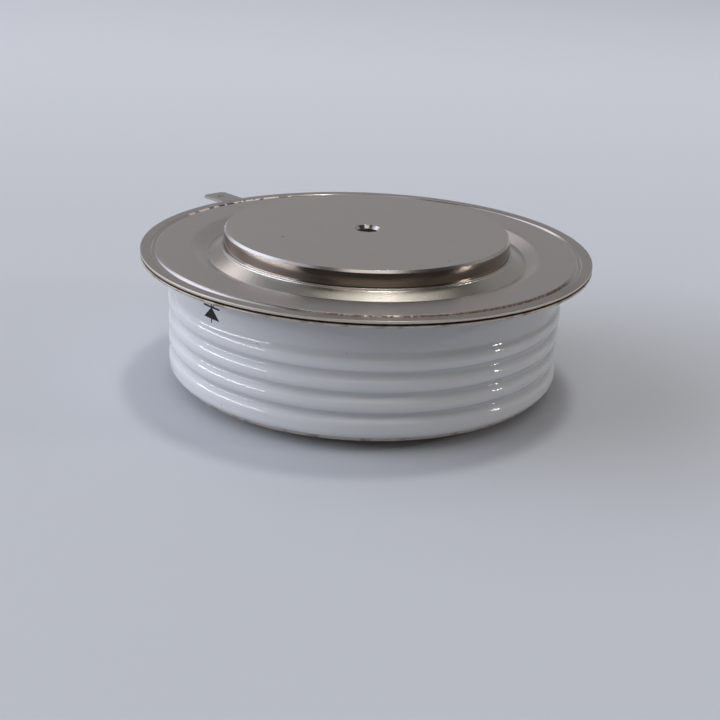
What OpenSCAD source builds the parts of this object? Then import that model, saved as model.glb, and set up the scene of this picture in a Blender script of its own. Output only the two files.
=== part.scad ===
// Disc thyristor: a flat ceramic capsule that is clamped between two heat sinks.
// The anode contact face lies on the XY plane, the axis is Z and the cathode face points up.

/* [Housing] */
// Height from the anode face to the cathode face
overall_h = 26; // [23:0.5:34]
// Diameter of the welded flange rim
flange_d = 75; // [66:0.5:100]
// Width of the flange outside the ribs
rim_overhang = 4.5; // [3.5:0.1:6]
// Height of the cathode face above the flange rim
cathode_rise = 3; // [2:0.1:4]
// Height of the anode flange above the anode face
anode_rise = 1.95; // [1:0.05:2.5]
// Bevel round the edge of each contact face
face_bevel = 0.4; // [0.1:0.05:0.8]

/* [Locating holes] */
// Diameter of the centre hole in each contact face
locating_d = 3.5; // [2.5:0.1:5]
// Depth of the centre hole
locating_depth = 2.2; // [1:0.1:2.8]
// Bevel round the mouth of the centre hole
locating_bevel = 0.5; // [0.1:0.1:0.9]

/* [Cathode flange] */
// Thickness of the pressed sheet
sheet_t = 0.45; // [0.3:0.05:0.6]
// Height of the collar's edge above the rim
collar_rise = 0.37; // [0.2:0.01:1]
// Height of the collar's foot above the middle of the rim's sheet
collar_foot = 0.1; // [-0.1:0.01:0.2]
// Bend radius at the foot of the collar
collar_bend = 0.4; // [0.32:0.01:0.45]
// Distance from the pole to the lowest ring of the moat
moat_out = 2.85; // [2.5:0.05:3.2]
// Depth of the moat
moat_depth = 1.15; // [0.5:0.05:1.2]
// Bend radius at the bottom of the moat
moat_bend = 0.6; // [0.4:0.05:1]
// Distance from the pole to the moat's outer shoulder
shoulder_out = 5.25; // [4.5:0.05:6]
// Bend radius of the shoulder
shoulder_bend = 1.6; // [0.6:0.1:2.4]
// Width of the rim outside the middle of the weld groove
rim_w = 2.1; // [1.5:0.1:3]
// Width of the weld groove
weld_w = 1; // [0.9:0.05:1.4]
// Width of the flat at the bottom of the weld groove
weld_land = 0.4; // [0.3:0.05:0.5]
// Bend radius in the weld groove
weld_bend = 0.32; // [0.31:0.01:0.36]

/* [Cathode tab] */
// Direction of the tab, from the X axis
tab_angle = 133.5; // [125:0.5:160]
// Width of the tab
tab_w = 4.8; // [2.8:0.1:6.3]
// Reach of the tab beyond the rim
tab_reach = 6; // [5:0.1:10]
// Corner cut at the end of the tab
tab_corner = 0.6; // [0.2:0.1:1]
// Diameter of the latch hole in the tab
tab_hole_d = 1.5; // [1:0.1:2]
// Distance from the latch hole to the end of the tab
tab_hole_inset = 2.8; // [2:0.1:4]

/* [Weld ring and anode flange] */
// Thickness of the weld ring
ring_t = 0.35; // [0.25:0.05:0.6]
// Gap between the two sheets of the rim
rim_gap = 0.3; // [0.2:0.02:0.34]
// Setback of the weld ring's bore from the ceramic bore
ring_setback = 1; // [0.2:0.1:2]
// Thickness of the anode flange
anode_sheet_t = 0.45; // [0.3:0.05:0.6]
// Setback of the anode flange's edge from the ribs
anode_setback = 0.9; // [0.3:0.1:1.5]

/* [Ceramic ring] */
// Thickness of the ceramic at the ribs
ceramic_wall = 5; // [4:0.1:6]
// Depth of the grooves between the ribs
rib_depth = 0.8; // [0.4:0.05:1.2]
// Distance from one rib to the next
rib_pitch = 3.3; // [3:0.05:3.4]
// Number of ribs
rib_count = 4; // [3:1:4]
// Height of the lowest groove above the foot of the ceramic
first_groove = 3.35; // [2.8:0.05:3.6]
// Radius at the root of a groove
root_r = 0.7; // [0.4:0.05:0.8]
// Radius on the edges of a rib
crest_r = 0.8; // [0.4:0.05:0.8]
// Radius at the foot of the ceramic
foot_r = 1.1; // [0.3:0.1:1.5]
// Bevel at the top of the neck
neck_bevel = 0.3; // [0.1:0.05:0.5]

/* [Stack] */
// Height of the cathode pole
cathode_pole_h = 11.3; // [10:0.1:14]
// Width of the space between the wafer and the ceramic
centring_space = 3; // [2:0.1:4]
// Step from the wafer's edge in to the contact faces
face_step = 1.15; // [0.6:0.05:2]
// Thickness of the wafer
wafer_t = 0.7; // [0.4:0.05:1]
// Bevel on the wafer's edge
wafer_bevel = 0.4; // [0.1:0.05:0.6]
// Thickness of the anode disc
anode_moly_t = 2.5; // [1.5:0.1:2.8]
// Step from the wafer's edge in to the cathode disc and the pole's foot
moly_step = 2.5; // [2:0.1:4]
// Thickness of the cathode disc
cathode_moly_t = 1.5; // [1:0.1:1.8]
// Height of the pole's foot above the cathode disc
pole_foot_h = 2.8; // [1:0.1:4]
// Height of the rubber bead on the wafer's edge
seal_h = 0.8; // [0.4:0.05:1]
// Gap between the bead and the cathode disc
seal_gap = 0.3; // [0.1:0.05:0.6]
// Clearance inside and outside the centring ring
centring_gap = 0.15; // [0.1:0.05:0.3]
// Height of the centring ring above the wafer
centring_rise = 0.8; // [0.2:0.1:2]
// Bevel on the upper edges of the centring ring
centring_bevel = 0.4; // [0.1:0.1:0.6]

/* [Gate contact] */
// Direction of the gate lead, from the X axis
gate_angle = 108; // [95:1:112]
// Height of the gate lead above the cathode disc
lead_rise = 3.4; // [3:0.1:3.6]
// Diameter of the gate wire
lead_d = 0.8; // [0.5:0.05:1]
// Diameter of the centre pocket in the pole
pocket_d = 8; // [7.5:0.1:9]
// Depth of the centre pocket
pocket_depth = 7; // [6.5:0.1:7.2]
// Clearance round the insulating cup
cup_gap = 0.2; // [0.1:0.05:0.3]
// Wall of the insulating cup
cup_wall = 0.8; // [0.5:0.05:0.9]
// Height of the cup's mouth above the wafer
cup_mouth = 0.4; // [0.2:0.1:1]
// Diameter of the gate pin's tip
pin_d = 1.8; // [1:0.1:2.4]
// Diameter of the gate pin's head
pin_head_d = 5.4; // [5:0.1:5.6]
// Thickness of the gate pin's head
pin_head_t = 1.6; // [1.4:0.1:1.8]
// Depth of the wire in the gate pin's head
pin_socket = 1.7; // [1:0.1:2.2]
// Height of the spigot inside the spring
pin_spigot_h = 1; // [0.4:0.1:1.1]
// Mean diameter of the spring
spring_d = 4.2; // [3.8:0.1:4.6]
// Wire of the spring
spring_wire = 0.5; // [0.3:0.05:0.6]
// Turns of the spring
spring_turns = 2.5; // [1.5:0.25:3]
// Outer diameter of the wire's sleeve
sleeve_d = 1.8; // [1.4:0.1:2]
// Clearance between the wire and what it passes through
lead_gap = 0.1; // [0.05:0.01:0.2]
// Clearance round the sleeve in the pole's slot
slot_gap = 0.3; // [0.2:0.05:0.5]
// Gap between the ends of the sleeve and its neighbours
sleeve_end_gap = 0.3; // [0.1:0.1:1]

/* [Gate terminal] */
// Outer diameter of the tube through the ceramic
tube_d = 3; // [2.4:0.1:3.2]
// Length of the tube inside the bore
tube_inside = 0.8; // [0.3:0.1:1.5]
// Length of the tube outside the ribs
tube_outside = 1.4; // [1.2:0.1:2]
// Gap between the ribs and the terminal's barrel
barrel_gap = 0.3; // [0.1:0.1:0.6]
// Wall of the terminal's barrel
barrel_wall = 0.5; // [0.3:0.05:0.7]
// Width of the gate blade
blade_w = 2.8; // [2:0.1:3.2]
// Thickness of the gate blade
blade_t = 0.5; // [0.4:0.05:0.8]
// Length of the gate blade
blade_len = 9; // [7:0.5:10]
// Corner cut at the end of the blade
blade_corner = 0.5; // [0.2:0.1:0.8]
// Diameter of the latch hole in the blade
blade_hole_d = 1.2; // [0.8:0.1:1.4]
// Distance from the latch hole to the end of the blade
blade_hole_inset = 2.6; // [2:0.1:4]

/* [Hidden] */
$fn = 128;
// Overlap of a cut beyond the face that it opens
cut = 0.5;
// Steps along each bend of the pressed sheet
bend_steps = 8;

// Radii, from the flange inwards
flange_r = flange_d / 2;
rib_r = flange_r - rim_overhang;
bore_r = rib_r - ceramic_wall;
wafer_r = bore_r - centring_space;
face_r = wafer_r - face_step;
cathode_moly_r = wafer_r - moly_step;
lead_r = lead_d / 2;
neck_r = rib_r - rib_depth;

// Heights of the sheets and of the ceramic between them
rim_z = overall_h - cathode_rise;
rim_mid_z = rim_z - sheet_t / 2;
ring_top_z = rim_z - sheet_t - rim_gap;
ceramic_top_z = ring_top_z - ring_t;
ceramic_foot_z = anode_rise + anode_sheet_t;

// Heights of the stack, from the cathode pole down
seat_z = overall_h - cathode_pole_h;
wafer_top_z = seat_z - cathode_moly_t;
wafer_z = wafer_top_z - wafer_t;
anode_pole_h = wafer_z - anode_moly_t;
lead_z = seat_z + lead_rise;
pocket_top_z = seat_z + pocket_depth;

// Insulating cup, pin head and spring between them
cup_r = pocket_d / 2 - cup_gap;
cup_bore_r = cup_r - cup_wall;
cup_roof_z = pocket_top_z - cup_wall;
pin_head_z = lead_z - pin_head_t / 2;
pin_head_top_z = lead_z + pin_head_t / 2;
pin_head_r = pin_head_d / 2;
pin_spigot_r = (spring_d - spring_wire) / 2 - lead_gap;
spring_sides = 8;
spring_steps = 16;

// Gate lead, from the pin outwards
slot_w = sleeve_d + 2 * slot_gap;
tube_start = bore_r - tube_inside;
tube_end = rib_r + tube_outside;
barrel_start = rib_r + barrel_gap;
barrel_end = tube_end + barrel_wall;
barrel_r = tube_d / 2 + barrel_wall;
blade_end = barrel_end + blade_len;

// A groove's flank is where the root arc meets the two crest arcs
flank_z = sqrt(2 * rib_depth * (root_r + crest_r) - pow(rib_depth, 2));
flank_r = neck_r + root_r * rib_depth / (root_r + crest_r);

nickel = [0.60, 0.58, 0.56];
copper = [0.72, 0.45, 0.30];
molybdenum = [0.45, 0.46, 0.48];
glaze = [0.93, 0.92, 0.95];
fluoroplastic = [0.88, 0.87, 0.82];
silicone = [0.85, 0.82, 0.74];
silicon = [0.25, 0.27, 0.32];
spring_steel = [0.50, 0.51, 0.53];

function unit(v) = v / norm(v);
function left_of(v) = [-v.y, v.x];
function direction(v) = atan2(v.y, v.x);

// One face of a bent sheet: its middle line set off sideways, with an arc at each corner
function sheet_side(points, bends, off) =
  let (last = len(points) - 1,
       legs = [for (i = [0 : last - 1]) unit(points[i + 1] - points[i])])
  [points[0] + left_of(legs[0]) * off,
   for (i = [1 : last - 1])
     let (turn = atan2(cross(legs[i - 1], legs[i]), legs[i - 1] * legs[i]),
          bend = bends[i - 1],
          inward = left_of(legs[i - 1]) * sign(turn),
          centre = points[i] - legs[i - 1] * bend * tan(abs(turn) / 2) + inward * bend,
          from = direction(-inward),
          r = bend - sign(turn) * off)
     for (step = [0 : bend_steps])
       let (at = from + turn * step / bend_steps)
       centre + r * [cos(at), sin(at)],
   points[last] + left_of(legs[last - 1]) * off];

// Section of a bent sheet of even thickness
module bent_sheet(points, bends, t) {
  upper = sheet_side(points, bends, t / 2);
  lower = sheet_side(points, bends, -t / 2);
  polygon(concat(upper, [for (i = [len(lower) - 1 : -1 : 0]) lower[i]]));
}

// Round bar or hole that runs outwards from the axis at the height of the gate lead
module radial(r, from, to) {
  rotate([0, 0, gate_angle]) translate([from, 0, lead_z]) rotate([0, 90, 0]) cylinder(r = r, h = to - from);
}

// Box slot for the gate lead, open at its foot
module lead_slot(w, from, to, foot_z) {
  top_z = lead_z + w / 2;
  rotate([0, 0, gate_angle]) translate([from, -w / 2, foot_z]) cube([to - from, w, top_z - foot_z]);
}

// Blind centre hole with a bevelled mouth, opening upwards at the origin
module locating_hole() {
  translate([0, 0, -locating_depth]) cylinder(d = locating_d, h = locating_depth + cut);
  mouth_d = locating_d + 2 * locating_bevel;
  translate([0, 0, -locating_bevel]) cylinder(d1 = locating_d, d2 = mouth_d, h = locating_bevel);
}

// Flat blade of a push-on terminal, from the start to its cut end
module blade_outline(w, from, to, corner, hole_d, hole_inset) {
  difference() {
    polygon([[from, -w / 2], [to - corner, -w / 2], [to, -w / 2 + corner],
      [to, w / 2 - corner], [to - corner, w / 2], [from, w / 2]]);
    translate([to - hole_inset, 0]) circle(d = hole_d);
  }
}

// Contact block with the bevelled cathode face, a pocket for the gate contact and a slot for its lead
module cathode_pole() {
  color(nickel) difference() {
    rotate_extrude() polygon([[0, seat_z], [cathode_moly_r, seat_z], [cathode_moly_r, seat_z + pole_foot_h],
      [face_r, seat_z + pole_foot_h], [face_r, overall_h - face_bevel], [face_r - face_bevel, overall_h],
      [0, overall_h]]);
    translate([0, 0, overall_h]) locating_hole();
    translate([0, 0, seat_z - cut]) cylinder(d = pocket_d, h = pocket_depth + cut);
    lead_slot(slot_w, 0, face_r + cut, seat_z - cut);
  }
}

// Pressed sheet: collar on the pole, moat, flat, weld groove and rim, with the terminal tab
module cathode_flange() {
  collar_r = face_r + sheet_t / 2;
  weld_r = flange_r - rim_w;
  weld_z = rim_mid_z - rim_gap;
  path = [[collar_r, rim_z + collar_rise], [collar_r, rim_mid_z + collar_foot],
    [face_r + moat_out, rim_mid_z - moat_depth], [face_r + shoulder_out, rim_mid_z],
    [weld_r - weld_w / 2, rim_mid_z], [weld_r - weld_land / 2, weld_z],
    [weld_r + weld_land / 2, weld_z], [weld_r + weld_w / 2, rim_mid_z], [flange_r, rim_mid_z]];
  bends = [collar_bend, moat_bend, shoulder_bend, weld_bend, weld_bend, weld_bend, weld_bend];
  tab_start = weld_r + weld_w / 2 + weld_bend;
  color(nickel) union() {
    rotate_extrude() bent_sheet(path, bends, sheet_t);
    rotate([0, 0, tab_angle]) translate([0, 0, rim_z - sheet_t]) linear_extrude(sheet_t)
      blade_outline(tab_w, tab_start, flange_r + tab_reach, tab_corner, tab_hole_d, tab_hole_inset);
  }
}

// Lower sheet of the double rim, on top of the ceramic
module weld_ring() {
  color(nickel) translate([0, 0, ceramic_top_z]) difference() {
    cylinder(r = flange_r, h = ring_t);
    translate([0, 0, -cut]) cylinder(r = bore_r + ring_setback, h = ring_t + 2 * cut);
  }
}

// Groove between two ribs: a round root that runs into the round edges of the ribs
module groove_section() {
  translate([neck_r + root_r, 0]) circle(r = root_r);
  difference() {
    translate([flank_r, -flank_z]) square([rib_r - flank_r + cut, 2 * flank_z]);
    for (side = [-1, 1]) translate([rib_r - crest_r, side * flank_z]) circle(r = crest_r);
  }
}

// Glazed ring with ribs low down and a plain neck under the flange
module ceramic_ring() {
  neck_z = ceramic_foot_z + first_groove + (rib_count - 1) * rib_pitch;
  color(glaze) difference() {
    rotate_extrude() difference() {
      translate([bore_r, ceramic_foot_z]) square([rib_r - bore_r, ceramic_top_z - ceramic_foot_z]);
      for (i = [0 : rib_count - 1]) translate([0, ceramic_foot_z + first_groove + i * rib_pitch]) groove_section();
      translate([neck_r, neck_z]) square([rib_depth + cut, ceramic_top_z - neck_z + cut]);
      translate([neck_r, ceramic_top_z])
        polygon([[-neck_bevel, 0], [0, -neck_bevel], [cut, -neck_bevel], [cut, cut], [-neck_bevel, cut]]);
      difference() {
        translate([rib_r - foot_r, ceramic_foot_z - cut]) square([foot_r + cut, foot_r + cut]);
        translate([rib_r - foot_r, ceramic_foot_z + foot_r]) circle(r = foot_r);
      }
    }
    radial(tube_d / 2, bore_r - cut, rib_r + cut);
  }
}

// Thin sheet that closes the foot of the ceramic round the anode pole
module anode_flange() {
  color(nickel) translate([0, 0, anode_rise]) difference() {
    cylinder(r = rib_r - anode_setback, h = anode_sheet_t);
    translate([0, 0, -cut]) cylinder(r = face_r, h = anode_sheet_t + 2 * cut);
  }
}

// Contact block with the bevelled anode face and a shoulder that sits on the anode flange
module anode_pole() {
  color(nickel) difference() {
    rotate_extrude() polygon([[0, 0], [face_r - face_bevel, 0], [face_r, face_bevel], [face_r, ceramic_foot_z],
      [wafer_r, ceramic_foot_z], [wafer_r, anode_pole_h], [0, anode_pole_h]]);
    mirror([0, 0, 1]) locating_hole();
  }
}

// Disc that carries the wafer
module anode_moly_disc() {
  color(molybdenum) translate([0, 0, anode_pole_h]) cylinder(r = wafer_r, h = anode_moly_t);
}

// Wafer with a bevelled edge
module silicon_wafer() {
  bevel_z = wafer_top_z - wafer_bevel / 2;
  color(silicon) rotate_extrude() polygon([[0, wafer_z], [wafer_r, wafer_z], [wafer_r, bevel_z],
    [wafer_r - wafer_bevel, wafer_top_z], [0, wafer_top_z]]);
}

// Round bead on the wafer, outside the cathode disc
module edge_seal() {
  inner = cathode_moly_r + seal_gap;
  outer = wafer_r - wafer_bevel;
  half = (outer - inner) / 2;
  bead_r = (pow(half, 2) + pow(seal_h, 2)) / (2 * seal_h);
  color(silicone) rotate_extrude() intersection() {
    translate([inner + half, wafer_top_z + seal_h - bead_r]) circle(r = bead_r);
    translate([inner, wafer_top_z]) square([2 * half, seal_h]);
  }
}

// Disc between the wafer and the pole, with a hole for the gate contact
module cathode_moly_disc() {
  color(molybdenum) translate([0, 0, wafer_top_z]) difference() {
    cylinder(r = cathode_moly_r, h = cathode_moly_t);
    translate([0, 0, -cut]) cylinder(d = pocket_d, h = cathode_moly_t + 2 * cut);
  }
}

// Ring that stands on the anode flange and keeps the stack in the middle of the bore
module centring_ring() {
  inner = wafer_r + centring_gap;
  outer = bore_r - centring_gap;
  top_z = wafer_top_z + centring_rise;
  color(fluoroplastic) rotate_extrude() polygon([[inner, ceramic_foot_z], [outer, ceramic_foot_z],
    [outer, top_z - centring_bevel], [outer - centring_bevel, top_z],
    [inner + centring_bevel, top_z], [inner, top_z - centring_bevel]]);
}

// Cup in the pole's pocket, open downwards and slotted for the lead
module gate_insulator() {
  foot_z = wafer_top_z + cup_mouth;
  color(fluoroplastic) difference() {
    translate([0, 0, foot_z]) cylinder(r = cup_r, h = pocket_top_z - foot_z);
    translate([0, 0, foot_z - cut]) cylinder(r = cup_bore_r, h = cup_roof_z - foot_z + cut);
    lead_slot(lead_d + 2 * lead_gap, 0, cup_r + cut, foot_z - cut);
  }
}

// Coil spring between the pin's head and the roof of the cup
module gate_spring() {
  wire_r = spring_wire / 2;
  rings = round(spring_turns * spring_steps);
  rise = cup_roof_z - pin_head_top_z - spring_wire;
  pitch_angle = atan2(rise, PI * spring_d * spring_turns);
  points = [for (i = [0 : rings], j = [0 : spring_sides - 1])
    let (at = 360 * spring_turns * i / rings,
         round_wire = 360 * j / spring_sides,
         out = spring_d / 2 + wire_r * cos(round_wire),
         lean = wire_r * sin(round_wire) * sin(pitch_angle),
         up = wire_r * sin(round_wire) * cos(pitch_angle))
    [out * cos(at) + lean * sin(at), out * sin(at) - lean * cos(at),
     pin_head_top_z + wire_r + rise * i / rings + up]];
  walls = [for (i = [0 : rings - 1], j = [0 : spring_sides - 1])
    let (next = (j + 1) % spring_sides, ring = i * spring_sides, above = ring + spring_sides)
    [ring + j, above + j, above + next, ring + next]];
  ends = [[for (j = [0 : spring_sides - 1]) j],
    [for (j = [spring_sides - 1 : -1 : 0]) rings * spring_sides + j]];
  color(spring_steel) polyhedron(points, concat(walls, ends));
}

// Pin that stands on the wafer, with a head for the wire and a spigot for the spring
module gate_pin() {
  color(nickel) difference() {
    union() {
      translate([0, 0, wafer_top_z]) cylinder(d = pin_d, h = pin_head_z - wafer_top_z);
      translate([0, 0, pin_head_z]) cylinder(r = pin_head_r, h = pin_head_t);
      translate([0, 0, pin_head_top_z]) cylinder(r = pin_spigot_r, h = pin_spigot_h);
    }
    radial(lead_r, pin_head_r - pin_socket, pin_head_r + cut);
  }
}

// Straight wire from the pin's head to the end of the tube
module gate_lead() {
  color(copper) radial(lead_r, pin_head_r - pin_socket, tube_end);
}

// Sleeve on the wire, from the cup to the tube
module lead_sleeve() {
  from = pocket_d / 2 + sleeve_end_gap;
  to = tube_start - sleeve_end_gap;
  color(fluoroplastic) difference() {
    radial(sleeve_d / 2, from, to);
    radial(lead_r + lead_gap, from - cut, to + cut);
  }
}

// Tube that carries the wire through the neck of the ceramic
module gate_tube() {
  color(nickel) difference() {
    radial(tube_d / 2, tube_start, tube_end);
    radial(lead_r + lead_gap, tube_start - cut, tube_end + cut);
  }
}

// Push-on blade with a barrel that closes the end of the tube
module gate_terminal() {
  color(nickel) difference() {
    union() {
      radial(barrel_r, barrel_start, barrel_end);
      rotate([0, 0, gate_angle]) translate([0, 0, lead_z - blade_t / 2]) linear_extrude(blade_t)
        blade_outline(blade_w, barrel_end - barrel_wall / 2, blade_end, blade_corner, blade_hole_d, blade_hole_inset);
    }
    radial(tube_d / 2, barrel_start - cut, tube_end);
  }
}

cathode_pole();
cathode_flange();
weld_ring();
ceramic_ring();
anode_flange();
anode_pole();
anode_moly_disc();
silicon_wafer();
edge_seal();
cathode_moly_disc();
centring_ring();
gate_insulator();
gate_spring();
gate_pin();
gate_lead();
lead_sleeve();
gate_tube();
gate_terminal();
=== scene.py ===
"""Disc thyristor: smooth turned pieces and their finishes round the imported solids, in a small studio."""

import math

import bmesh
import bpy
from mathutils import Matrix, Vector


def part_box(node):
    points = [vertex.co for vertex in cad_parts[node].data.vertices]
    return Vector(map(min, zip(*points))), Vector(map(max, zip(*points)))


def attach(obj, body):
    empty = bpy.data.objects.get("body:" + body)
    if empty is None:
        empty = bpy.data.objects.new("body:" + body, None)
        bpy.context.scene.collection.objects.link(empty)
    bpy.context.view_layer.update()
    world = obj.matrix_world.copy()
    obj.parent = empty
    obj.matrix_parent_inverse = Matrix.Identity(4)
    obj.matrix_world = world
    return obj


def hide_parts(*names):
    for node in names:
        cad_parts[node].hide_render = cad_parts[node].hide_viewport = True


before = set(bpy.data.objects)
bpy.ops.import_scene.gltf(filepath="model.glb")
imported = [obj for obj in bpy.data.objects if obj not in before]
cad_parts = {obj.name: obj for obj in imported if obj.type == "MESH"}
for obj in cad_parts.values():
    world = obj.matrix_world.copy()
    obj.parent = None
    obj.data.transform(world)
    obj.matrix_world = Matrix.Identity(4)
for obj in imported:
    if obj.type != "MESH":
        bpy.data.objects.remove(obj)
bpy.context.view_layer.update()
bpy.context.scene.view_settings.view_transform = "Standard"

# Sizes in millimetres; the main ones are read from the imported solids
MM = 0.001


def span(node):
    """Outer radius, foot and top of a round solid."""
    low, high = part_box(node)
    return high[0] / MM, low[2] / MM, high[2] / MM


face_r, seat_z, face_z = span("cathode_pole")
flange_r, _, collar_z = span("cathode_flange")
_, ring_z, ring_top_z = span("weld_ring")
rib_r, glaze_foot_z, glaze_top_z = span("ceramic_ring")
foot_sheet_r, foot_sheet_z, foot_sheet_top_z = span("anode_flange")
stack_r, floor_z, anode_top_z = span("anode_pole")

# Contact blocks
face_bevel = 0.4
face_edge = 0.06
seat_edge = 0.2
stack_edge = 0.3
locating_r = 1.75
locating_depth = 2.2
locating_bevel = 0.5
pocket_r = 4.0
pocket_top_z = seat_z + 7.0
block_foot_r = 22.5
block_foot_z = seat_z + 2.8

# Pressed flange
sheet_t = 0.45
rim_gap = 0.3
rim_z = ring_top_z + rim_gap + sheet_t
rim_mid_z = rim_z - sheet_t / 2
collar_foot_z = rim_mid_z + 0.1
moat_r = face_r + 2.85
moat_z = rim_mid_z - 1.15
shoulder_r = face_r + 5.25
weld_r = flange_r - 2.1
weld_half = 0.5
weld_land = 0.2
weld_z = rim_mid_z - rim_gap
edge_bend = 0.1
moat_bend = 0.4
shoulder_bend = 1.6
weld_bend = 0.32

# Terminal tab
tab_angle = math.radians(133.5)
tab_half = 2.4
tab_start = flange_r - 1.2
tab_end = flange_r + 6.0
tab_inset = 0.006
tab_corner = 0.6
tab_hole_r = 0.75
tab_hole_at = tab_end - 2.8

# Glazed ring
rib_pitch = 3.3
rib_count = 4
first_groove = 3.7
root_r = 0.49
crest_r = 1.3
top_root_r = 1.4
glaze_foot_r = 1.25
foot_wall = 1.85
bore_edge = 0.3
neck_edge = 0.25
neck_start = 1.0
neck_r = rib_r - 0.8
crown_r = rib_r + 0.15
bore_r = rib_r - 5.0
ring_bore_r = bore_r + 1.0

# Gate stub and blade
gate_angle = math.radians(108)
gate_z = seat_z + 3.4
wire_r = 0.5
tube_r = 1.5
tube_gap = 0.02
drill_past = 2.0
tube_start = bore_r - 0.8
tube_end = rib_r + 1.4
barrel_r = 2.0
barrel_start = rib_r + 0.3
barrel_end = tube_end + 0.5
barrel_foot_edge = 0.15
barrel_edge = 0.25
blade_half = 1.4
blade_t = 0.5
blade_end = barrel_end + 9.0
blade_corner = 0.5
blade_hole_r = 0.6
blade_hole_at = blade_end - 2.6

# Fineness of the meshes
ARC_STEP = math.radians(9)
SUPPORT = 0.05
ROUND_STEPS = 320
SMALL_STEPS = 64
SHARP = math.radians(32)
TURN_PATH_R = 10
MERGE = 0.0005
FINE_EDGE = 0.05
SOFT_EDGE = 0.1


class Wire:
    """A node's output that takes part in Python arithmetic."""

    def __init__(self, board, socket):
        self.board = board
        self.socket = socket

    def maths(self, operation, first, second=0.0):
        return self.board.node("ShaderNodeMath", {"operation": operation}, [first, second])

    def __add__(self, other):
        return self.maths("ADD", self, other)

    def __sub__(self, other):
        return self.maths("SUBTRACT", self, other)

    def __rsub__(self, other):
        return self.maths("SUBTRACT", other, self)

    def __mul__(self, other):
        return self.maths("MULTIPLY", self, other)

    def __truediv__(self, other):
        return self.maths("DIVIDE", self, other)

    def __pow__(self, other):
        return self.maths("POWER", self, other)

    __radd__ = __add__
    __rmul__ = __mul__


class Board:
    """A node tree that is filled by one call for each node."""

    def __init__(self, tree):
        self.tree = tree

    def node(self, kind, settings=None, sockets=(), output=0):
        made = self.tree.nodes.new(kind)
        for name, value in (settings or {}).items():
            setattr(made, name, value)
        pairs = sockets.items() if isinstance(sockets, dict) else enumerate(sockets)
        for key, value in pairs:
            if isinstance(value, Wire):
                self.tree.links.new(value.socket, made.inputs[key])
            else:
                made.inputs[key].default_value = value
        if isinstance(output, tuple):
            return [Wire(self, made.outputs[key]) for key in output]
        return Wire(self, made.outputs[output]) if made.outputs else made


class Maker(Board):
    """A Geometry Nodes tree with named inputs."""

    def __init__(self, name):
        super().__init__(bpy.data.node_groups.new(name, "GeometryNodeTree"))
        self.entry = self.tree.nodes.new("NodeGroupInput")

    def input(self, name, kind):
        self.tree.interface.new_socket(name, in_out="INPUT", socket_type="NodeSocket" + kind)
        return Wire(self, self.entry.outputs[name])

    def finish(self, shape, paint):
        whole = self.node("GeometryNodeRealizeInstances", sockets=[shape])
        painted = self.node("GeometryNodeSetMaterial", sockets={"Geometry": whole, "Material": paint})
        self.tree.interface.new_socket("Geometry", in_out="OUTPUT", socket_type="NodeSocketGeometry")
        self.node("NodeGroupOutput", sockets=[painted])
        return self.tree


def linked(name, mesh):
    """A new object in the scene."""
    piece = bpy.data.objects.new(name, mesh)
    bpy.context.scene.collection.objects.link(piece)
    return piece


def evaluated(piece):
    """Replaces a piece's mesh by what its modifiers make of it."""
    graph = bpy.context.evaluated_depsgraph_get()
    mesh = bpy.data.meshes.new_from_object(piece.evaluated_get(graph))
    piece.modifiers.clear()
    piece.data = mesh
    return piece


def grown(name, tree, start, values):
    """The plain mesh that a Geometry Nodes tree makes from a starting mesh."""
    piece = linked(name, start)
    modifier = piece.modifiers.new(name, "NODES")
    modifier.node_group = tree
    for item in tree.interface.items_tree:
        if item.in_out == "INPUT" and item.name in values:
            modifier[item.identifier] = values[item.name]
    return evaluated(piece)


def cleaned(piece):
    """Merges doubles, turns all faces outwards and marks the sharp edges."""
    shape = bmesh.new()
    shape.from_mesh(piece.data)
    bmesh.ops.remove_doubles(shape, verts=shape.verts, dist=MERGE * MM)
    bmesh.ops.recalc_face_normals(shape, faces=shape.faces)
    shape.to_mesh(piece.data)
    shape.free()
    piece.data.shade_smooth()
    piece.data.set_sharp_from_angle(angle=SHARP)
    return piece


def combined(piece, other, operation):
    """Joins another closed piece to this one, or cuts it away."""
    modifier = piece.modifiers.new(operation, "BOOLEAN")
    modifier.operation = operation
    modifier.solver = "EXACT"
    modifier.object = other
    evaluated(piece)
    bpy.data.objects.remove(other)
    return cleaned(piece)


def along(start, end, distance):
    """The point at a distance from the start of a line."""
    share = distance / math.dist(start, end)
    return tuple(a + (b - a) * share for a, b in zip(start, end))


def arc(centre, radius, first, last):
    """Points on an arc between two angles in degrees."""
    steps = max(2, math.ceil(math.radians(abs(last - first)) / ARC_STEP))
    angles = [math.radians(first + (last - first) * k / steps) for k in range(steps + 1)]
    return [(centre[0] + radius * math.cos(a), centre[1] + radius * math.sin(a)) for a in angles]


def bend(before, corner, after, radius):
    """The arc that rounds one corner of an outline."""
    into = [(c - b) / math.dist(before, corner) for b, c in zip(before, corner)]
    out = [(a - c) / math.dist(corner, after) for c, a in zip(corner, after)]
    turn = math.atan2(into[0] * out[1] - into[1] * out[0], into[0] * out[0] + into[1] * out[1])
    if radius == 0 or abs(turn) < 0.001:
        return [tuple(corner)]
    cut = radius * math.tan(abs(turn) / 2)
    side = math.copysign(radius, turn)
    centre = (corner[0] - into[0] * cut - into[1] * side, corner[1] - into[1] * cut + into[0] * side)
    first = math.degrees(math.atan2(-into[0] * side, into[1] * side))
    return arc(centre, radius, first, first + math.degrees(turn))


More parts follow.
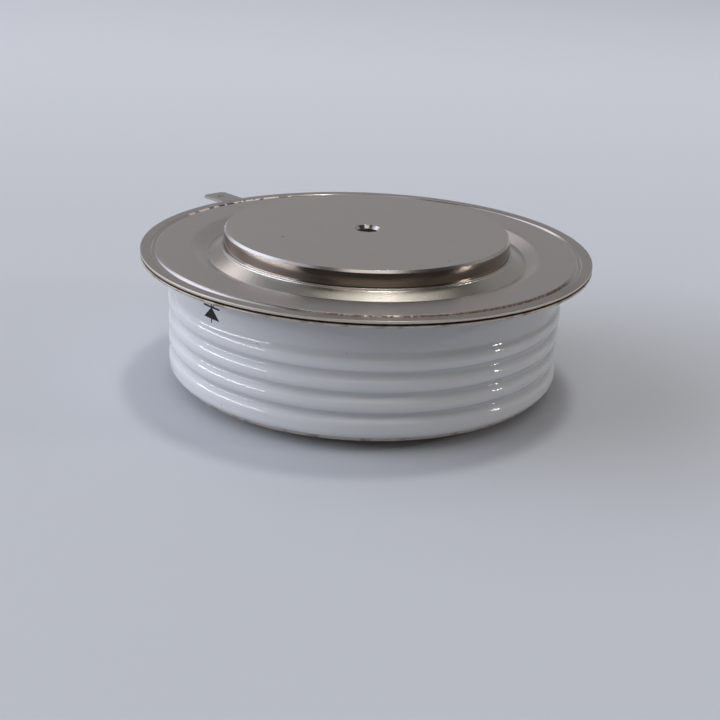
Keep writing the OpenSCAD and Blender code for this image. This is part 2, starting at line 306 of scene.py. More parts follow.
def outline(corners, closed=True):
    """Rounds the corners (r, z, bend) of an outline and sets a support point beside each bend."""
    count = len(corners)
    bends = []
    for k, (r, z, radius) in enumerate(corners):
        before = corners[k - 1][:2]
        after = corners[(k + 1) % count][:2]
        inner = closed or 0 < k < count - 1
        bends.append(bend(before, (r, z), after, radius) if inner else [(r, z)])
    points = []
    for k, part in enumerate(bends):
        points += part
        if k == count - 1 and not closed:
            break
        following = bends[(k + 1) % count][0]
        if math.dist(part[-1], following) > 4 * SUPPORT:
            points += [along(part[-1], following, SUPPORT), along(following, part[-1], SUPPORT)]
    return points


def bent_sheet(path, bends, thickness, edge):
    """Corners of a bent sheet's section: its middle line set off to both sides."""
    sides = []
    for off in (thickness / 2, -thickness / 2):
        side = []
        for k, point in enumerate(path):
            legs = [(path[j], path[j + 1]) for j in (k - 1, k) if 0 <= j < len(path) - 1]
            ways = [((b[0] - a[0]) / math.dist(a, b), (b[1] - a[1]) / math.dist(a, b)) for a, b in legs]
            lefts = [(-w[1], w[0]) for w in ways]
            lean = sum(lefts[0][i] * lefts[-1][i] for i in (0, 1))
            total = [lefts[0][i] + lefts[-1][i] for i in (0, 1)]
            corner = [point[i] + total[i] * off / (1 + lean) for i in (0, 1)]
            turn = ways[0][0] * ways[-1][1] - ways[0][1] * ways[-1][0]
            radius = bends[k] - math.copysign(off, turn) * math.copysign(1, off) if bends[k] else edge
            side.append((corner[0], corner[1], radius))
        sides.append(side)
    return sides[0] + sides[1][::-1]


def turning_tree():
    """Turns a section, drawn in the XZ plane, round the Z axis."""
    maker = Maker("turned_piece")
    section = maker.input("Section", "Geometry")
    steps = maker.input("Steps", "Int")
    path = maker.input("Path Radius", "Float")
    paint = maker.input("Finish", "Material")
    place = maker.node("GeometryNodeInputPosition")
    x, z = maker.node("ShaderNodeSeparateXYZ", sockets=[place], output=("X", "Z"))
    flat = maker.node("ShaderNodeCombineXYZ", sockets=[x - path, 0 - z])
    laid = maker.node("GeometryNodeSetPosition", sockets={"Geometry": section, "Position": flat})
    profile = maker.node("GeometryNodeMeshToCurve", sockets=[laid])
    circle = maker.node("GeometryNodeCurvePrimitiveCircle", sockets={"Resolution": steps, "Radius": path})
    turned = maker.node("GeometryNodeCurveToMesh", sockets={"Curve": circle, "Profile Curve": profile})
    return maker.finish(turned, paint)


TURNING = turning_tree()


def turned(name, points, paint, closed=True, steps=ROUND_STEPS):
    """A piece turned from a section given in millimetres."""
    section = bpy.data.meshes.new(name)
    edges = [(k, k + 1) for k in range(len(points) - 1)]
    if closed:
        edges.append((len(points) - 1, 0))
    section.from_pydata([(r * MM, 0, z * MM) for r, z in points], edges, [])
    values = {"Steps": steps, "Path Radius": TURN_PATH_R * MM, "Finish": paint}
    return cleaned(grown(name, TURNING, section, values))


def blade(name, paint, half, start, end, corner, hole_at, hole_r, low_z, high_z, angle, edge=0.04):
    """A flat terminal blade that points outwards, with cut corners and a latch hole."""
    curve = bpy.data.curves.new(name, "CURVE")
    curve.dimensions = "2D"
    curve.fill_mode = "BOTH"
    rim = [(start, -half), (end - corner, -half), (end, corner - half),
           (end, half - corner), (end - corner, half), (start, half)]
    hole = [(hole_at + x, y) for x, y in arc((0, 0), hole_r, 0, 360)[:-1]]
    for points in (rim, hole):
        spline = curve.splines.new("POLY")
        spline.points.add(len(points) - 1)
        for point, (x, y) in zip(spline.points, points):
            point.co = (x * MM, y * MM, 0, 1)
        spline.use_cyclic_u = True
    curve.offset = -edge * MM
    curve.bevel_depth = edge * MM
    curve.bevel_resolution = 2
    curve.extrude = ((high_z - low_z) / 2 - edge) * MM
    shape = linked(name, curve)
    graph = bpy.context.evaluated_depsgraph_get()
    mesh = bpy.data.meshes.new_from_object(shape.evaluated_get(graph))
    bpy.data.objects.remove(shape)
    mesh.transform(Matrix.Rotation(angle, 4, "Z") @ Matrix.Translation((0, 0, (low_z + high_z) / 2 * MM)))
    mesh.materials.clear()
    mesh.materials.append(paint)
    return cleaned(linked(name, mesh))


class Finish(Board):
    """A material worked out from the place on the piece."""

    def __init__(self, name):
        self.material = bpy.data.materials.new(name)
        self.material.use_nodes = True
        super().__init__(self.material.node_tree)
        self.tree.nodes.clear()
        self.place = self.node("ShaderNodeTexCoord", output="Object")
        axes = self.node("ShaderNodeSeparateXYZ", sockets=[self.place], output=("X", "Y", "Z"))
        self.x, self.y, self.z = [axis / MM for axis in axes]
        self.radius = (self.x * self.x + self.y * self.y) ** 0.5
        self.angle = self.x.maths("ARCTAN2", self.y, self.x)

    def noise(self, size, detail=2.0, place=None, rough=0.5):
        """Cloudy values round 0.5 with spots of a size in millimetres."""
        sockets = {"Vector": place or self.place, "Scale": 1 / (size * MM),
                   "Detail": detail, "Roughness": rough}
        return self.node("ShaderNodeTexNoise", sockets=sockets, output=0)

    def at(self, x, y, z):
        """A place made of three values in millimetres."""
        return self.node("ShaderNodeCombineXYZ", sockets=[x * MM, y * MM, z * MM])

    def mask(self, value, low, high):
        """Runs smoothly from 0 at one value to 1 at another."""
        sockets = {"Value": value, "From Min": low, "From Max": high}
        return self.node("ShaderNodeMapRange", {"interpolation_type": "SMOOTHSTEP"}, sockets)

    def within(self, value, middle, half, soft):
        """One near a middle value, nothing beyond its half width."""
        off = value - middle
        away = off.maths("ABSOLUTE", off)
        return 1 - self.mask(away, half - soft, half + soft)

    def spot(self, x, y, size):
        """A soft round mark, seen from above."""
        far = ((self.x - x) * (self.x - x) + (self.y - y) * (self.y - y)) ** 0.5
        return 1 - self.mask(far, size * 0.4, size)

    def blend(self, first, second, share):
        """A colour between two others."""
        return self.node("ShaderNodeMix", {"data_type": "RGBA"}, {0: share, 6: first, 7: second}, output=2)

    def bump(self, height, depth):
        """A normal for a relief whose height runs over a depth in millimetres."""
        sockets = {"Height": height, "Distance": depth * MM, "Strength": 1.0}
        return self.node("ShaderNodeBump", sockets=sockets)

    def hatch(self):
        """Short slanting strokes on the edge of a sheet."""
        return self.noise(0.25, 1.0, self.at(self.angle * flange_r + self.z * 1.2, self.z * 0.1, 0.0))

    def surface(self, **sockets):
        """The finished material, from the values of its shader."""
        names = {key.replace("_", " "): value for key, value in sockets.items()}
        shader = self.node("ShaderNodeBsdfPrincipled", sockets=names)
        self.node("ShaderNodeOutputMaterial", sockets=[shader])
        return self.material


def tone(r, g, b):
    """A colour from its linear parts."""
    return (r, g, b, 1.0)


NICKEL_PALE = tone(0.60, 0.572, 0.552)
NICKEL_DULL = tone(0.50, 0.472, 0.450)


def lapped_nickel():
    """Nickel plate on the contact blocks: lapped face, bright bevels, browned wall; painted shade darkens the
    wall's front and the locating hole.
    """
    paint = Finish("lapped_nickel")
    cloud = paint.noise(6.0, 3.0)
    grain = paint.noise(0.12, 1.0)
    wall = paint.mask(paint.radius, face_r - 0.05, face_r - 0.02)
    bevel = paint.within(paint.radius, face_r - face_bevel / 2, face_bevel / 2, 0.02)
    mouth = paint.within(paint.radius, locating_r + locating_bevel / 2, locating_bevel / 2, 0.03)
    bore = 1 - paint.mask(paint.radius, locating_r - 0.02, locating_r + 0.02)
    lines = paint.noise(0.12, 2.0, paint.at(paint.angle * face_r * 0.02, paint.z, 0.0))
    strokes = paint.noise(0.3, 1.0, paint.at(paint.angle * face_r + paint.z * 0.9, paint.z * 0.2, 0.0))
    scuff = paint.spot(-13.6, -7.2, 0.5) * 0.5 + paint.spot(12.78, -16.96, 0.22) * 0.9
    colour = paint.blend(NICKEL_PALE, NICKEL_DULL, cloud * 0.5)
    # painted shade: the wall's own brown turns darker towards the front
    brown_and_front_shade = paint.within(paint.angle, math.radians(-92), math.radians(26), math.radians(14))
    brown_and_front_shade = paint.blend(tone(0.29, 0.238, 0.20), tone(0.11, 0.086, 0.064), brown_and_front_shade)
    colour = paint.blend(colour, brown_and_front_shade, wall * (lines * 0.4 + 0.7))
    # painted shade: the inside of the locating hole is darkened
    colour = paint.blend(colour, tone(0.14, 0.115, 0.09), bore)
    colour = paint.blend(colour, tone(0.10, 0.085, 0.07), scuff)
    relief = grain * 0.5 + lines * wall * 0.6 + strokes * bevel * 0.8
    rough = cloud * 0.08 + 0.33 - wall * 0.16 - bevel * 0.17 - mouth * 0.22 + bore * 0.15
    return paint.surface(Base_Color=colour, Metallic=1.0, Roughness=rough, Normal=paint.bump(relief, 0.004))


def pressed_nickel():
    """Matt nickel plate on the pressed sheet; the weld groove is rolled bright and, at the front, burnt;
    painted shade darkens the rim's front, painted glints dash the groove behind, and a painted warm sheen
    tints the slope.
    """
    paint = Finish("pressed_nickel")
    cloud = paint.noise(5.0, 3.0)
    grain = paint.noise(0.24, 2.0, rough=0.6)
    slope = paint.within(paint.radius, (face_r + moat_r) / 2, 1.3, 0.2)
    groove = paint.within(paint.radius, weld_r, 0.52, 0.06)
    seam = paint.within(paint.radius, weld_r - 0.24, 0.17, 0.05)
    front = paint.within(paint.angle, math.radians(-64), math.radians(38), math.radians(6))
    patchy = paint.mask(paint.noise(0.5, 3.0), 0.38, 0.50)
    burnt = seam * front * patchy
    behind = paint.within(paint.angle, math.radians(136), math.radians(20), math.radians(3))
    dashes = paint.mask(paint.noise(1.6, 2.0), 0.44, 0.50)
    # painted highlight: pale dashes in the groove behind, where the weld catches the light
    bead = paint.within(paint.radius, weld_r + 0.2, 0.25, 0.05) * behind * dashes
    rim = paint.mask(paint.radius, weld_r + 0.40, weld_r + 0.55)
    below = 1 - paint.mask(paint.z, rim_z - 0.08, rim_z - 0.02)
    edge = paint.within(paint.radius, flange_r, 0.11, 0.03) * below
    hatch = paint.hatch()
    stain = paint.within(paint.radius, face_r + 0.9, 0.5, 0.3) * paint.mask(paint.noise(1.2, 3.0), 0.48, 0.66)
    pit = paint.spot(2.45, -25.48, 0.17)
    colour = paint.blend(NICKEL_PALE, NICKEL_DULL, cloud * 0.4 + rim * 0.9)
    # painted shade: the rim is darker at the front
    colour = paint.blend(colour, tone(0.36, 0.335, 0.31), rim * front * 0.6)
    colour = paint.blend(colour, tone(0.40, 0.37, 0.34), stain * 0.5)
    # painted sheen: a warm tint on the slope stands in for the warm overhead light it reflects
    colour = paint.blend(colour, tone(0.56, 0.53, 0.475), slope * 0.8)
    colour = paint.blend(colour, tone(0.36, 0.31, 0.27), groove * front * 0.7)
    colour = paint.blend(colour, tone(0.15, 0.095, 0.07), burnt * 0.9)
    # painted highlight: the pale glint dashes in the groove behind
    colour = paint.blend(colour, tone(0.90, 0.82, 0.74), bead * 0.9)
    colour = paint.blend(colour, paint.blend(tone(0.50, 0.44, 0.37), tone(0.74, 0.67, 0.59), hatch), edge)
    colour = paint.blend(colour, tone(0.12, 0.10, 0.08), pit * 0.9)
    crust = paint.noise(0.14, 2.0)
    relief = grain * (1 - groove) * (slope * 1.2 + 0.8) + edge * hatch * 2.0 + burnt * crust * 3.0
    rough = cloud * 0.06 + 0.27 - slope * 0.09 - groove * 0.12 + groove * front * 0.12
    rough = rough + burnt * 0.35 + edge * 0.15 + bead * 0.4
    return paint.surface(Base_Color=colour, Metallic=1.0, Roughness=rough, Normal=paint.bump(relief, 0.008))


def brazed_nickel():
    """Thin sheet with a brownish, hatched edge from the brazing oven."""
    paint = Finish("brazed_nickel")
    cloud = paint.noise(2.0, 3.0)
    hatch = paint.hatch()
    pale = paint.blend(tone(0.46, 0.40, 0.34), tone(0.66, 0.58, 0.50), hatch)
    colour = paint.blend(pale, tone(0.28, 0.21, 0.16), paint.mask(cloud, 0.45, 0.75))
    return paint.surface(Base_Color=colour, Metallic=1.0, Roughness=cloud * 0.1 + 0.40,
                         Normal=paint.bump(hatch, 0.012))


def bright_nickel():
    """Plain plated terminal."""
    paint = Finish("bright_nickel")
    cloud = paint.noise(2.5, 3.0)
    streaks = paint.noise(0.15, 2.0, paint.at(paint.x * 0.3, paint.y * 0.3, paint.z))
    colour = paint.blend(NICKEL_PALE, NICKEL_DULL, cloud * 0.7)
    return paint.surface(Base_Color=colour, Metallic=1.0, Roughness=streaks * 0.15 + 0.22,
                         Normal=paint.bump(streaks, 0.004))


def white_glaze():
    """Glossy white glaze with a slight wave and a few dark specks; painted shade makes the grooves and the
    neck greyer.
    """
    paint = Finish("white_glaze")
    wave = paint.noise(3.0, 1.0)
    tint = paint.noise(7.0, 2.0)
    speck = paint.mask(paint.noise(0.45, 0.0), 0.885, 0.90)
    # painted shade: the groove roots and the neck, where shade falls, turn greyer
    groove_shade = 1 - paint.mask(paint.radius, neck_r + 0.05, neck_r + 0.75)
    colour = paint.blend(tone(0.70, 0.70, 0.715), tone(0.67, 0.67, 0.685), tint)
    colour = paint.blend(colour, tone(0.56, 0.562, 0.58), groove_shade * 0.85)
    colour = paint.blend(colour, tone(0.20, 0.16, 0.12), speck * 0.6)
    return paint.surface(Base_Color=colour, Roughness=tint * 0.02 + 0.035, Normal=paint.bump(wave, 0.014))


def black_ink():
    """Stamped ink, slightly uneven."""
    paint = Finish("black_ink")
    wear = paint.noise(0.3, 3.0)
    colour = paint.blend(tone(0.006, 0.006, 0.008), tone(0.016, 0.016, 0.018), wear)
    return paint.surface(Base_Color=colour, Roughness=wear * 0.2 + 0.5, Specular_IOR_Level=0.2)


def inner_finish(name, first, second, size, metallic, rough):
    """Finish of a piece inside the capsule."""
    paint = Finish(name)
    cloud = paint.noise(size, 3.0)
    grain = paint.noise(size * 0.1, 2.0)
    return paint.surface(Base_Color=paint.blend(first, second, cloud), Metallic=metallic,
                         Roughness=cloud * 0.12 + rough, Normal=paint.bump(grain, 0.004))


def weld_copper():
    """Small grains of copper-coloured weld."""
    paint = Finish("weld_copper")
    cloud = paint.noise(0.6, 2.0)
    colour = paint.blend(tone(0.62, 0.44, 0.36), tone(0.22, 0.12, 0.09), cloud)
    return paint.surface(Base_Color=colour, Metallic=1.0, Roughness=cloud * 0.2 + 0.25)


def cathode_block(paint):
    """Upper contact block with its locating hole."""
    hole_z = face_z - locating_depth
    mouth_r = locating_r + locating_bevel
    corners = [(0, hole_z, 0), (locating_r, hole_z, SOFT_EDGE),
               (locating_r, face_z - locating_bevel, FINE_EDGE), (mouth_r, face_z, FINE_EDGE),
               (face_r - face_bevel, face_z, face_edge), (face_r, face_z - face_bevel, face_edge),
               (face_r, block_foot_z, SOFT_EDGE), (block_foot_r, block_foot_z, SOFT_EDGE),
               (block_foot_r, seat_z, seat_edge), (pocket_r, seat_z, SOFT_EDGE),
               (pocket_r, pocket_top_z, SOFT_EDGE), (0, pocket_top_z, 0)]
    return turned("cathode_block", outline(corners, False), paint, False)


def anode_block(paint):
    """Lower contact block with its locating hole."""
    hole_z = floor_z + locating_depth
    mouth_r = locating_r + locating_bevel
    corners = [(0, hole_z, 0), (locating_r, hole_z, SOFT_EDGE),
               (locating_r, floor_z + locating_bevel, FINE_EDGE), (mouth_r, floor_z, FINE_EDGE),
               (face_r - face_bevel, floor_z, face_edge), (face_r, floor_z + face_bevel, face_edge),
               (face_r, foot_sheet_top_z, SOFT_EDGE), (stack_r, foot_sheet_top_z, seat_edge),
               (stack_r, anode_top_z, stack_edge), (0, anode_top_z, 0)]
    return turned("anode_block", outline(corners, False), paint, False)


def flange_sheet(paint):
    """Pressed upper sheet with its collar, moat, weld groove and tab."""
    collar_r = face_r + sheet_t / 2
    path = [(collar_r, collar_z), (collar_r, collar_foot_z), (moat_r, moat_z),
            (shoulder_r, rim_mid_z), (weld_r - weld_half, rim_mid_z),
            (weld_r - weld_land, weld_z), (weld_r + weld_land, weld_z),
            (weld_r + weld_half, rim_mid_z), (flange_r, rim_mid_z)]
    bends = [0, moat_bend, moat_bend, shoulder_bend] + [weld_bend] * 4 + [0]
    sheet = turned("flange_sheet", outline(bent_sheet(path, bends, sheet_t, edge_bend)), paint)
    tab = blade("tab", paint, tab_half, tab_start, tab_end, tab_corner, tab_hole_at, tab_hole_r,
                rim_z - sheet_t + tab_inset, rim_z - tab_inset, tab_angle)
    return combined(sheet, tab, "UNION")


def flat_ring(name, paint, inner, outer, low, high, edge):
    """Plain sheet ring with softened edges."""
    corners = [(inner, low, edge), (outer, low, edge), (outer, high, edge), (inner, high, edge)]
    return turned(name, outline(corners), paint)


def gate_way():
    """Turns the Z axis to the direction of the gate lead."""
    lift = Matrix.Translation((0, 0, gate_z * MM))
    return lift @ Matrix.Rotation(gate_angle, 4, "Z") @ Matrix.Rotation(math.pi / 2, 4, "Y")


def glazed_ring(paint):
    """Ceramic ring with round ribs below a plain neck."""
    depth = crown_r - neck_r
    hollow = root_r + crest_r - depth
    reach = math.hypot(hollow, rib_pitch / 2)
    steep = math.atan2(rib_pitch / 2, hollow) - math.acos((root_r + crest_r) / reach)
    wide = top_root_r + crest_r
    top_rise = (wide - (wide - depth) * math.cos(steep)) / math.sin(steep)
    lean = math.degrees(steep)
    points = outline([(crown_r, glaze_foot_z + foot_wall, 0), (crown_r, glaze_foot_z, glaze_foot_r),
                      (bore_r, glaze_foot_z, bore_edge), (bore_r, glaze_top_z, bore_edge),
                      (neck_r, glaze_top_z, neck_edge), (neck_r, glaze_top_z - neck_start, 0)], False)
    for k in reversed(range(rib_count)):
        crest_z = glaze_foot_z + first_groove + (k - 0.5) * rib_pitch
        if k == rib_count - 1:
            points += arc((neck_r + top_root_r, crest_z + top_rise), top_root_r, 180, 180 + lean)
        else:
            points += arc((neck_r + root_r, crest_z + rib_pitch / 2), root_r, 180 - lean, 180 + lean)
        points += arc((crown_r - crest_r, crest_z), crest_r, lean, -lean if k else 0)
    ring = turned("glazed_ring", points, paint)
    hole_r = tube_r + tube_gap
    corners = [(0, bore_r - drill_past, 0), (hole_r, bore_r - drill_past, 0),
               (hole_r, crown_r + drill_past, 0), (0, crown_r + drill_past, 0)]
    drill = turned("gate_drill", outline(corners, False), paint, False, SMALL_STEPS)
    drill.data.transform(gate_way())
    return combined(ring, drill, "DIFFERENCE")


def gate_stub(paint):
    """Tube that carries the gate wire through the neck."""
    points = outline([(wire_r, tube_start, FINE_EDGE), (tube_r, tube_start, FINE_EDGE),
                      (tube_r, tube_end, FINE_EDGE), (wire_r, tube_end, FINE_EDGE)])
    stub = turned("gate_stub", points, paint, steps=SMALL_STEPS)
    stub.data.transform(gate_way())
    return stub


def gate_blade(paint):
    """Crimped barrel with a narrow push-on blade."""
    points = outline([(0, tube_end, 0), (tube_r, tube_end, FINE_EDGE), (tube_r, barrel_start, FINE_EDGE),
                      (barrel_r, barrel_start, barrel_foot_edge), (barrel_r, barrel_end, barrel_edge),
                      (0, barrel_end, 0)], False)
    barrel = turned("gate_blade", points, paint, False, SMALL_STEPS)
    barrel.data.transform(gate_way())
    flat = blade("flat", paint, blade_half, barrel_end - barrel_edge, blade_end, blade_corner,
                 blade_hole_at, blade_hole_r, gate_z - blade_t / 2, gate_z + blade_t / 2, gate_angle)
    return combined(barrel, flat, "UNION")


def polarity_mark(paint):
    """Stamped sign that shows the current's way: bar, triangle, two stems and the gate's stroke."""
    middle = math.radians(-136.0)
    inner = neck_r - 0.01
    outer = neck_r + 0.02
    steps = 12
    patches = [[(-2.08, 18.59), (1.88, 18.59), (1.88, 18.87), (-2.08, 18.87)],
               [(-1.95, 16.83), (1.87, 16.83), (0.06, 18.62), (-0.14, 18.62)],
               [(-0.15, 16.0), (0.07, 16.0), (0.07, 16.9), (-0.15, 16.9)],
               [(-0.15, 18.8), (0.07, 18.8), (0.07, 19.3), (-0.15, 19.3)],
               [(0.10, 18.82), (0.26, 18.78), (0.76, 19.22), (0.62, 19.30)]]
    shape = bmesh.new()
    for low_left, low_right, high_right, high_left in patches:
        rows = []
        for left, right in ((low_left, low_right), (high_left, high_right)):
            row = [[left[i] + (right[i] - left[i]) * k / steps for i in (0, 1)] for k in range(steps + 1)]
            rows.append(row)
        loops = []
        for k in range(steps + 1):
            loop = []
            for row, radius in ((rows[0], inner), (rows[0], outer), (rows[1], outer), (rows[1], inner)):
                turn = middle + row[k][0] / neck_r
                place = Vector((radius * math.cos(turn), radius * math.sin(turn), row[k][1]))
                loop.append(shape.verts.new(place * MM))
            loops.append(loop)
        for first, second in zip(loops, loops[1:]):
            for j in range(4):
                shape.faces.new((first[j], first[(j + 1) % 4], second[(j + 1) % 4], second[j]))
        shape.faces.new(loops[0])
        shape.faces.new(loops[-1])
    mesh = bpy.data.meshes.new("polarity_mark")
    shape.to_mesh(mesh)
    shape.free()
    mesh.materials.append(paint)
    return cleaned(linked("polarity_mark", mesh))


def burr_tree():
    """Strews small weld grains along an arc."""
    maker = Maker("weld_grains")
    radius = maker.input("Radius", "Float")
    height = maker.input("Height", "Float")
    start = maker.input("Start", "Float")
    sweep = maker.input("Sweep", "Float")
    count = maker.input("Count", "Int")
    grain = maker.input("Grain", "Float")
    spread = maker.input("Spread", "Float")
    seed = maker.input("Seed", "Int")
    paint = maker.input("Finish", "Material")
    line = maker.node("GeometryNodeCurveArc", {"mode": "RADIUS"},
                      {"Resolution": 256, "Radius": radius, "Start Angle": start, "Sweep Angle": sweep})
    points = maker.node("GeometryNodeCurveToPoints", {"mode": "COUNT"}, {"Curve": line, "Count": count})

    def chance(low, high, offset):
        """A random vector for each grain."""
        return maker.node("FunctionNodeRandomValue", {"data_type": "FLOAT_VECTOR"},
                          {"Min": low, "Max": high, "Seed": seed + offset})

    shift = chance((-1, -1, 0), (1, 1, 0.2), 1)
    shift = maker.node("ShaderNodeVectorMath", {"operation": "SCALE"}, {"Vector": shift, "Scale": spread})
    lift = maker.node("ShaderNodeCombineXYZ", sockets={"Z": height})
    shift = maker.node("ShaderNodeVectorMath", {"operation": "ADD"}, [shift, lift])
    laid = maker.node("GeometryNodeSetPosition", sockets={"Geometry": points, "Offset": shift})
    bead = maker.node("GeometryNodeMeshIcoSphere", sockets={"Radius": grain, "Subdivisions": 1})
    full_turn = 6.28
    turn = chance((0, 0, 0), (full_turn, full_turn, full_turn), 2)
    size = chance((0.4, 0.4, 0.3), (1.8, 1.2, 0.9), 3)
    grains = maker.node("GeometryNodeInstanceOnPoints",
                        sockets={"Points": laid, "Instance": bead, "Rotation": turn, "Scale": size})
    return maker.finish(grains, paint)


def weld_burr(paint):
    """Rough grains in the weld groove, along the front and the right."""
    start = bpy.data.meshes.new("weld_burr")
    values = {"Radius": (weld_r - 0.34) * MM, "Height": (rim_z - 0.12) * MM, "Start": math.radians(256),
              "Sweep": math.radians(74), "Count": 600, "Grain": 0.05 * MM, "Spread": 0.12 * MM, "Seed": 7,
              "Finish": paint}
    return cleaned(grown("weld_burr", burr_tree(), start, values))


def show(piece, node=None):
    """Hands a finished piece to the frame."""
    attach(piece, "root")
    if node:
        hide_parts(node)


def repaint(node, paint):
    """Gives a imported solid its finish."""
    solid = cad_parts[node]
    solid.data.materials.clear()
    solid.data.materials.append(paint)


def make_pieces():
    """Makes each piece that shows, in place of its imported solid."""
    lapped = lapped_nickel()
    pressed = pressed_nickel()
    brazed = brazed_nickel()
    bright = bright_nickel()
    glaze = white_glaze()
    show(cathode_block(lapped), "cathode_pole")
    show(anode_block(lapped), "anode_pole")
    show(flange_sheet(pressed), "cathode_flange")
    lower = flat_ring("lower_sheet", brazed, ring_bore_r, flange_r, ring_z, ring_top_z, 0.08)
    show(lower, "weld_ring")
    foot = flat_ring("foot_sheet", brazed, face_r, foot_sheet_r, foot_sheet_z, foot_sheet_top_z, 0.1)
    show(foot, "anode_flange")
    show(glazed_ring(glaze), "ceramic_ring")
    show(gate_stub(bright), "gate_tube")
    show(gate_blade(bright), "gate_terminal")
    show(polarity_mark(black_ink()))
    show(weld_burr(weld_copper()))


def paint_inside():
    """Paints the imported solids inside: two colours, size of the clouds, metal, roughness, nodes."""
    rows = {"ground_molybdenum": ((0.30, 0.30, 0.31), (0.40, 0.40, 0.41), 3.0, 1.0, 0.30,
                                  ["anode_moly_disc", "cathode_moly_disc"]),
            "etched_silicon": ((0.10, 0.11, 0.14), (0.16, 0.17, 0.20), 4.0, 0.6, 0.12, ["silicon_wafer"]),
            "pale_silicone": ((0.68, 0.62, 0.50), (0.58, 0.52, 0.42), 1.5, 0.0, 0.40, ["edge_seal"]),
            "fluoroplastic": ((0.78, 0.76, 0.70), (0.70, 0.68, 0.63), 3.0, 0.0, 0.38,
                              ["centring_ring", "gate_insulator", "lead_sleeve"]),
            "spring_wire": ((0.36, 0.36, 0.38), (0.26, 0.26, 0.27), 1.0, 1.0, 0.25, ["gate_spring"]),
            "copper_wire": ((0.72, 0.38, 0.24), (0.58, 0.28, 0.17), 1.0, 1.0, 0.28, ["gate_lead"]),
            "plated_pin": ((0.62, 0.58, 0.52), (0.50, 0.46, 0.42), 1.0, 1.0, 0.25, ["gate_pin"])}
    for name, (first, second, size, metallic, rough, nodes) in rows.items():
        paint = inner_finish(name, tone(*first), tone(*second), size, metallic, rough)
        for node in nodes:
            repaint(node, paint)


def studio_floor():
    """Pale matt table, painted lighter towards the back as a pool of light."""
    half = 3.0
    fade_start = -60.0
    fade_end = 420.0
    mesh = bpy.data.meshes.new("table")
    z = floor_z * MM
    corners = [(-half, -half, z), (half, -half, z), (half, half, z), (-half, half, z)]
    mesh.from_pydata(corners, [], [(0, 1, 2, 3)])
    paint = Finish("pale_table")
    cloud = paint.noise(60.0, 3.0)
    colour = paint.blend(tone(0.575, 0.597, 0.643), tone(0.595, 0.617, 0.663), cloud)
    # painted light: the table turns lighter towards the back
    colour = paint.blend(colour, tone(0.74, 0.765, 0.82), paint.mask(paint.y, fade_start, fade_end))
    mesh.materials.append(paint.surface(Base_Color=colour, Roughness=0.75))
    linked("table", mesh)


def soft_lamp(name, place, aim, width, height, radiance, colour):
    """A flat soft lamp, set by how bright its face looks."""
    lamp = bpy.data.lights.new(name, "AREA")
    lamp.shape = "RECTANGLE"
    lamp.size = width
    lamp.size_y = height
    lamp.energy = radiance * width * height * math.pi
    lamp.color = colour
    holder = linked(name, lamp)
    holder.location = place
    holder.rotation_euler = (Vector(aim) - Vector(place)).to_track_quat("-Z", "Y").to_euler()


def way(azimuth, elevation, distance):
    """A place seen from the object under two angles in degrees."""
    turn = math.radians(azimuth)
    lift = math.radians(elevation)
    flat = math.cos(lift)
    return Vector((math.cos(turn) * flat, math.sin(turn) * flat, math.sin(lift))) * distance


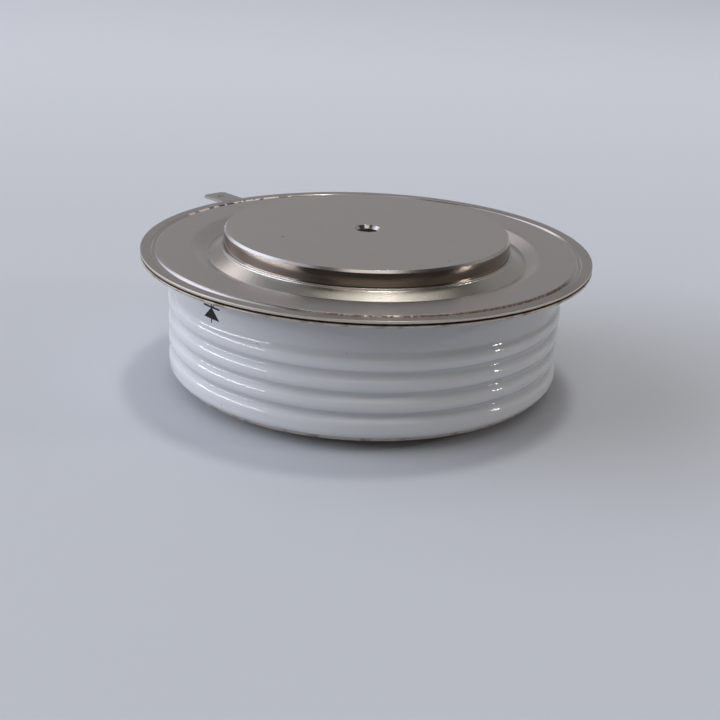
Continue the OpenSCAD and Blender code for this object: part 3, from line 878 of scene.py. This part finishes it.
def studio_light():
    """A small lamp overhead, a strip window at the left, and a room with soft windows, walls and ceiling."""
    aim = (0, 0, 0.02)
    patch_edge = 4
    soft_lamp("ceiling_lamp", way(48, 81, 1.2), aim, 0.16, 0.16, 32.0, (1.0, 0.985, 0.95))
    soft_lamp("strip_window", way(188, 24, 2.0), aim, 1.87, 0.17, 15.5, (0.86, 0.91, 1.0))
    soft_lamp("right_lamp", way(354, 23, 0.95), aim, 0.10, 0.05, 52.0, (1.0, 0.98, 0.96))
    world = bpy.data.worlds.new("room")
    bpy.context.scene.world = world
    world.use_nodes = True
    room = Board(world.node_tree)
    room.tree.nodes.clear()
    look = room.node("ShaderNodeTexCoord", output="Generated")
    x, y, z = room.node("ShaderNodeSeparateXYZ", sockets=[look], output=("X", "Y", "Z"))
    turn = x.maths("ARCTAN2", y, x)
    lift = x.maths("ARCTAN2", z, (x * x + y * y) ** 0.5)

    def rise(value, low, high):
        """Runs smoothly from 0 at one angle in degrees to 1 at another."""
        sockets = {"Value": value, "From Min": math.radians(low), "From Max": math.radians(high)}
        return room.node("ShaderNodeMapRange", {"interpolation_type": "SMOOTHSTEP"}, sockets)

    def patch(middle, half, low, high, soft, strength, colour):
        """A soft-edged piece of the room, placed by its angles in degrees."""
        off = turn - math.radians(middle)
        away = off.maths("ARCCOSINE", off.maths("COSINE", off))
        sides = rise(away, half + soft, half - soft)
        foot = rise(lift, low - patch_edge, low + patch_edge)
        top = rise(lift, high + patch_edge, high - patch_edge)
        sockets = {"Color": tone(*colour), "Strength": sides * foot * top * strength}
        return room.node("ShaderNodeBackground", sockets=sockets)

    light = room.node("ShaderNodeBackground", sockets={"Color": tone(1.0, 1.0, 1.0), "Strength": 0.045})
    for row in [(171, 38, -20, 9, 13, 0.6, (1.0, 0.99, 1.0)),
                (171, 38, 9, 48, 13, 1.5, (0.92, 0.98, 1.15)),
                (171, 42, 48, 62, 16, 0.6, (0.95, 1.0, 1.1)),
                (14, 24, -20, 9, 8, 0.7, (1.1, 0.99, 0.85)),
                (14, 24, 9, 44, 8, 0.3, (0.98, 1.0, 0.98)),
                (86, 54, -20, 7, 8, 0.42, (0.97, 1.0, 1.10)),
                (86, 48, 7, 44, 8, 0.26, (1.03, 0.99, 1.02)),
                (118, 12, 30, 39, 5, 1.35, (1.0, 0.93, 0.95)),
                (84, 28, 52, 76, 8, 0.9, (1.03, 1.0, 0.93)),
                (278, 42, 50, 76, 14, 1.15, (1.06, 0.99, 0.94)),
                (272, 46, 20, 48, 14, 0.3, (1.02, 1.0, 0.98)),
                (0, 181, 76, 100, 0, 2.0, (1.02, 1.0, 0.92))]:
        light = room.node("ShaderNodeAddShader", sockets=[light, patch(*row)])
    seen = room.node("ShaderNodeLightPath", output="Is Camera Ray")
    pale = {"Color": tone(0.55, 0.57, 0.62), "Strength": 1.0}
    backdrop = room.node("ShaderNodeBackground", sockets=pale)
    whole = room.node("ShaderNodeMixShader", sockets=[seen, light, backdrop])
    room.node("ShaderNodeOutputWorld", sockets=[whole])


def photo_camera():
    """Camera that stands where the photograph was taken."""
    focal_px = 1209.74
    picture_px = 720
    pan = -0.0016
    tilt = 0.3758
    roll = 0.0421
    back_off = 196.14
    above_rim = 56.69
    camera = bpy.data.cameras.new("camera")
    camera.sensor_width = 36.0
    camera.lens = camera.sensor_width * focal_px / picture_px
    camera.clip_start = 0.01
    forward = Vector((math.sin(pan) * math.cos(tilt), math.cos(pan) * math.cos(tilt), -math.sin(tilt)))
    right = forward.cross(Vector((0, 0, 1))).normalized()
    up = right.cross(forward)
    side = math.cos(roll) * right + math.sin(roll) * up
    above = math.cos(roll) * up - math.sin(roll) * right
    holder = linked("camera", camera)
    turn = Matrix((side, above, -forward)).transposed().to_4x4()
    place = Vector((0, -back_off, rim_z + above_rim)) * MM
    holder.matrix_world = Matrix.Translation(place) @ turn
    bpy.context.scene.camera = holder


photo_camera()
make_pieces()
paint_inside()
studio_floor()
studio_light()
